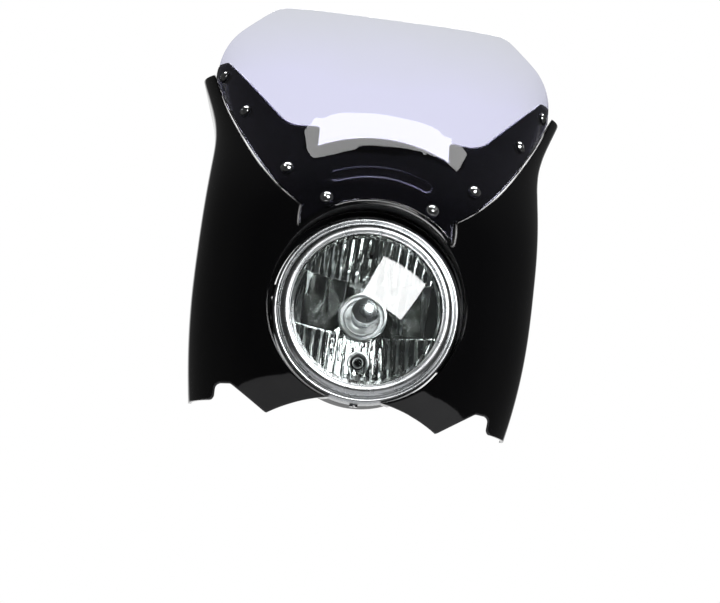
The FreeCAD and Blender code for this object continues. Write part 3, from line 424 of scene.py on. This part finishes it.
# Cowl shell
# One moulding of black plastic with a polished gloss lacquer outside and a bare satin inside, bolted to the
# stay through rubber grommets. The lacquer has a long, shallow orange peel; edges are rounded over.

# A face is outside where it looks away from the shell's core, for which height counts only a little
CORE_WEIGHT = (1, 1, 0.2)
CORE_SHIFT = (0, -20 * MM, 0)
CORE_BLEND = 2 * MM
lacquer, tree = new_material("gloss_lacquered_plastic")
place = add_node(tree, "TexCoord", {})
shape = add_node(tree, "NewGeometry", {})
from_core = add_node(tree, "VectorMath", {"operation": "MULTIPLY_ADD", 1: CORE_WEIGHT, 2: CORE_SHIFT},
                     in_0=(place, "Object"))
outward = add_node(tree, "VectorMath", {"operation": "DOT_PRODUCT"}, in_0=(from_core, "Vector"),
                   in_1=(shape, "True Normal"))
outside = add_node(tree, "MapRange", {"From Min": -CORE_BLEND, "From Max": CORE_BLEND},
                   Value=(outward, "Value"))
peel = add_node(tree, "TexNoise", {"Scale": 1 / (5 * MM), "Detail": 1.0}, Vector=(place, "Object"))
cloud = add_node(tree, "TexNoise", {"Scale": 1 / (60 * MM), "Detail": 3.0}, Vector=(place, "Object"))
polish = add_node(tree, "MapRange", {"To Min": 0.03, "To Max": 0.07}, Value=(cloud, "Fac"))
gloss = add_node(tree, "MapRange", {"To Min": 0.5}, Value=(outside, "Result"), To_Max=(polish, "Result"))
shade = add_node(tree, "ValToRGB", {}, Fac=(outside, "Result"))
ramp_colours(shade, [(0.0, "#161617"), (1.0, "#050506")])
edge = add_node(tree, "Bevel", {"samples": 12, "Radius": 4.0 * MM})
bump = add_node(tree, "Bump", {"Strength": 0.04, "Distance": 0.1 * MM}, Height=(peel, "Fac"),
                Normal=(edge, "Normal"))
skin = add_node(tree, "BsdfPrincipled", {"IOR": 1.5}, Base_Color=(shade, "Color"),
                Roughness=(gloss, "Result"), Normal=(bump, "Normal"))
add_node(tree, "OutputMaterial", {}, Surface=(skin, "BSDF"))
paint(["cowl_shell"], lacquer)

# Windscreen
# A sheet of clear acrylic, formed over a mould, polished along its edge and screwed down on rubber nuts. Its
# faint lavender cast turns grey towards the top, and a painted shade greys it along the edge. The hair
# scratches are drawn coarser than real.

# Heights in millimetres: where the cast begins to turn grey, which drifts, and where it has turned
LAVENDER_Z = (220, 275)
GREY_Z = 345
acrylic, tree = new_material("clear_acrylic")
place = add_node(tree, "TexCoord", {})
stretch = add_node(tree, "Mapping", {"Scale": (1.0, 0.2, 0.04), "Rotation": (0.3, 0.2, 0.5)},
                   Vector=(place, "Object"))
hairs = add_node(tree, "TexNoise", {"Scale": 1 / (1.2 * MM), "Detail": 1.0}, Vector=(stretch, "Vector"))
scratch = add_node(tree, "MapRange", {"From Min": 0.7, "From Max": 0.8, "To Min": 0.0, "To Max": 0.05},
                   Value=(hairs, "Fac"))
edge = add_node(tree, "Bevel", {"samples": 6, "Radius": 1.0 * MM})
shape = add_node(tree, "NewGeometry", {})
# Painted shade: a grey tint along the sheet's edge, standing in for the darkening that refraction at the edge
# gives
border = add_node(tree, "Bevel", {"samples": 8, "Radius": 3.0 * MM})
turned = add_node(tree, "VectorMath", {"operation": "DOT_PRODUCT"}, in_0=(border, "Normal"),
                  in_1=(shape, "True Normal"))
painted_edge_shade = add_node(tree, "MapRange", {"From Min": 0.85, "From Max": 0.995, "To Min": 1.0, "To Max": 0.0},
                     Value=(turned, "Value"))
cast = add_node(tree, "TexNoise", {"Scale": 1 / (90 * MM), "Detail": 1.0}, Vector=(place, "Object"))
drift = add_node(tree, "MapRange", {"To Min": LAVENDER_Z[0] * MM, "To Max": LAVENDER_Z[1] * MM},
                 Value=(cast, "Fac"))
axes = add_node(tree, "SeparateXYZ", {}, Vector=(place, "Object"))
height = add_node(tree, "MapRange", {"From Max": GREY_Z * MM, "To Max": 0.8}, Value=(axes, "Z"),
                  From_Min=(drift, "Result"))
tint_and_edge_shade = add_node(tree, "Math", {"operation": "MAXIMUM"}, in_0=(height, "Result"), in_1=(painted_edge_shade, "Result"))
shade = add_node(tree, "ValToRGB", {}, Fac=(tint_and_edge_shade, "Value"))
# The last, grey stop is reached only through the painted edge shade
ramp_colours(shade, [(0.0, "#e6e6fe"), (0.8, "#dfe1e9"), (1.0, "#a4a6ac")])
skin = add_node(tree, "BsdfPrincipled", {"IOR": 1.49, "Transmission Weight": 1.0},
                Base_Color=(shade, "Color"), Roughness=(scratch, "Result"), Normal=(edge, "Normal"))
add_node(tree, "OutputMaterial", {}, Surface=(skin, "BSDF"))
paint(["windscreen"], acrylic)

# Windscreen screws and the rim's screw
# Polished stainless screws; the windscreen's are button heads with a hexagon socket, done up on thin washers.
# The polish leaves a fine grain, drawn coarser than real, and slightly brighter rounded edges.
stainless, tree = new_material("polished_stainless")
place = add_node(tree, "TexCoord", {})
grain = add_node(tree, "TexNoise", {"Scale": 1 / (0.6 * MM), "Detail": 2.0}, Vector=(place, "Object"))
shade = add_node(tree, "ValToRGB", {}, Fac=(grain, "Fac"))
ramp_colours(shade, [(0.3, "#c6c7c8"), (0.7, "#dcddde")])
gloss = add_node(tree, "MapRange", {"To Min": 0.1, "To Max": 0.22}, Value=(grain, "Fac"))
edge = add_node(tree, "Bevel", {"samples": 6, "Radius": 0.25 * MM})
skin = add_node(tree, "BsdfPrincipled", {"Metallic": 1.0}, Base_Color=(shade, "Color"),
                Roughness=(gloss, "Result"), Normal=(edge, "Normal"))
add_node(tree, "OutputMaterial", {}, Surface=(skin, "BSDF"))
paint(["windscreen_screws", "rim_screw"], stainless)

# Studio
# A pale paper floor, a square softbox in front and up to the right, a broad one overhead behind the screen,
# and a curved strip light overhead, which the screen mirrors as a crescent.

# Lengths in metres, turns in radians
FLOOR_Y = 0.1
FLOOR_Z = -0.62
FLOOR_RADIUS = 0.95
KEY_PLACE = (0.727, -2.055, 0.918)
KEY_FACING = (-0.312, 0.866, -0.391)
KEY_ALONG = (0.882, 0.111, -0.459)
KEY_SIDE = 1.27
KEY_RADIANCE = 12.0
TOP_PLACE = (0.0, 0.78, 1.75)
TOP_FACING = (0, -0.35, -1)
TOP_ALONG = (1, 0, 0)
TOP_WIDTH = 1.6
TOP_DEPTH = 1.0
TOP_RADIANCE = 10.0
STRIP_CENTRE = (-0.08, 1.99, 1.7)
STRIP_RADIUS = 2.28
STRIP_RADIANCE = 4.6
STRIP_STEPS = 48
# Each row of the strip's plan: turns of its front and rear edge, and how far each lies inside the radius
STRIP_PLAN = [(-0.236, -0.3, 0.0, 0.086), (-0.16, -0.2, 0.0, 0.083), (-0.06, -0.07, -0.003, 0.091),
              (0.06, 0.06, -0.003, 0.092), (0.2, 0.2, 0.0, 0.074), (0.33, 0.34, 0.007, 0.05),
              (0.405, 0.465, 0.006, 0.047)]
bpy.ops.object.select_all(action="DESELECT")
bpy.ops.mesh.primitive_circle_add(vertices=128, radius=FLOOR_RADIUS, fill_type="NGON",
                                  location=(0, FLOOR_Y, FLOOR_Z))
floor = bpy.context.object
floor.name = "studio_floor"
bpy.ops.object.transform_apply(location=True, rotation=True, scale=True)

# Paper: matt, with a very faint broad mottle
paper, tree = new_material("paper_floor")
place = add_node(tree, "TexCoord", {})
mottle = add_node(tree, "TexNoise", {"Scale": 1 / (333 * MM), "Detail": 3.0}, Vector=(place, "Object"))
shade = add_node(tree, "ValToRGB", {}, Fac=(mottle, "Fac"))
ramp_colours(shade, [(0.3, "#b9b9bb"), (0.7, "#c3c3c5")])
skin = add_node(tree, "BsdfPrincipled", {"Roughness": 0.8}, Base_Color=(shade, "Color"))
add_node(tree, "OutputMaterial", {}, Surface=(skin, "BSDF"))
floor.data.materials.append(paper)


def softbox(name, centre, facing, along, width, height, radiance):
    """Area light at a place, facing a direction, with its width along another."""
    light = bpy.data.lights.new(name, "AREA")
    light.shape = "RECTANGLE"
    light.size = width
    light.size_y = height
    light.energy = radiance * math.pi * width * height
    holder = bpy.data.objects.new(name, light)
    back = -Vector(facing).normalized()
    side = (Vector(along) - back * Vector(along).dot(back)).normalized()
    up = back.cross(side)
    turn = Matrix((side, up, back)).transposed().to_4x4()
    holder.matrix_world = Matrix.Translation(centre) @ turn
    holder.visible_camera = False
    bpy.context.scene.collection.objects.link(holder)


softbox("key_softbox", KEY_PLACE, KEY_FACING, KEY_ALONG, KEY_SIDE, KEY_SIDE, KEY_RADIANCE)
softbox("top_softbox", TOP_PLACE, TOP_FACING, TOP_ALONG, TOP_WIDTH, TOP_DEPTH, TOP_RADIANCE)
bpy.ops.object.select_all(action="DESELECT")
bpy.ops.mesh.primitive_grid_add(x_subdivisions=STRIP_STEPS, y_subdivisions=1, size=1)
strip = bpy.context.object
strip.name = "strip_light"
for index, vertex in enumerate(strip.data.vertices):
    row, step = divmod(index, STRIP_STEPS + 1)
    along = step * (len(STRIP_PLAN) - 1) / STRIP_STEPS
    knot = min(int(along), len(STRIP_PLAN) - 2)
    share = along - knot
    here = [a * (1 - share) + b * share for a, b in zip(STRIP_PLAN[knot], STRIP_PLAN[knot + 1])]
    turn = here[row]
    reach = STRIP_RADIUS - here[2 + row]
    vertex.co = Vector(STRIP_CENTRE) + Vector((reach * math.sin(turn), -reach * math.cos(turn), 0))

# Strip glow: it shows in the screen's outer face only, and not again in what lies behind that face
glow, tree = new_material("strip_glow")
path = add_node(tree, "LightPath", {})
level = add_node(tree, "MapRange", {"From Min": 0.4, "From Max": 0.6, "To Min": STRIP_RADIANCE,
                                    "To Max": 0.0}, Value=(path, "Transmission Depth"))
lit = add_node(tree, "Emission", {"Color": linear("#ffffff")}, Strength=(level, "Result"))
add_node(tree, "OutputMaterial", {}, Surface=(lit, "Emission"))
strip.data.materials.append(glow)
strip.visible_camera = False

# Surround: white to the camera and through clear pieces. In reflections it is dim, so that gloss black stays
# black, but for a white patch straight behind that draws light lines along the edges.
world = bpy.data.worlds.new("studio_surround")
bpy.context.scene.world = world
world.use_nodes = True
tree = world.node_tree
tree.nodes.clear()
place = add_node(tree, "TexCoord", {})
parts = add_node(tree, "SeparateXYZ", {}, Vector=(place, "Generated"))
turned = add_node(tree, "MapRange", {"From Min": -1.0, "From Max": 1.0}, Value=(parts, "Y"))
behind = add_node(tree, "ValToRGB", {}, Fac=(turned, "Result"))
ramp_colours(behind, [(0.3, "#343434"), (0.5, "#444444"), (0.965, "#484848"), (0.99, "#ffffff")])
path = add_node(tree, "LightPath", {})
straight = add_node(tree, "Math", {"operation": "LESS_THAN", 1: 0.5}, in_0=(path, "Glossy Depth"))
through = add_node(tree, "Math", {"operation": "MULTIPLY"}, in_0=(path, "Is Transmission Ray"),
                   in_1=(straight, "Value"))
shown = add_node(tree, "Math", {"operation": "MAXIMUM"}, in_0=(path, "Is Camera Ray"),
                 in_1=(through, "Value"))
level = add_node(tree, "Math", {"operation": "MAXIMUM"}, in_0=(behind, "Color"), in_1=(shown, "Value"))
sky = add_node(tree, "Background", {"Color": linear("#ffffff")}, Strength=(level, "Value"))
add_node(tree, "OutputWorld", {}, Surface=(sky, "Background"))

# Camera
# Long lens from the front, a little below and to the left, rolled because the cowl leans in the photograph.
# Distances are in metres, shifts and the focal length in pixels of the photograph's frame.
DISTANCE = 2.6
YAW = math.radians(2.8)
PITCH = math.radians(8.0)
ROLL = math.radians(6.95)
IMAGE_WIDTH = 720.0
FOCAL_PIXELS = 2587.0
SHIFT_RIGHT = -6.5
SHIFT_UP = 7.4
lamp = Vector((0, LIP_Y * MM, 0))
away = Vector((-math.sin(YAW) * math.cos(PITCH), -math.cos(YAW) * math.cos(PITCH), -math.sin(PITCH)))
level_right = away.cross(Vector((0, 0, -1))).normalized()
level_up = level_right.cross(-away)
right = level_right * math.cos(ROLL) + level_up * math.sin(ROLL)
up = level_up * math.cos(ROLL) - level_right * math.sin(ROLL)
lens = bpy.data.cameras.new("camera")
lens.lens = FOCAL_PIXELS / IMAGE_WIDTH * lens.sensor_width
lens.shift_x = SHIFT_RIGHT / IMAGE_WIDTH
lens.shift_y = SHIFT_UP / IMAGE_WIDTH
camera = bpy.data.objects.new("camera", lens)
turn = Matrix((right, up, away)).transposed().to_4x4()
camera.matrix_world = Matrix.Translation(lamp + away * DISTANCE) @ turn
bpy.context.scene.collection.objects.link(camera)
bpy.context.scene.camera = camera
bpy.context.scene.view_settings.view_transform = "Standard"
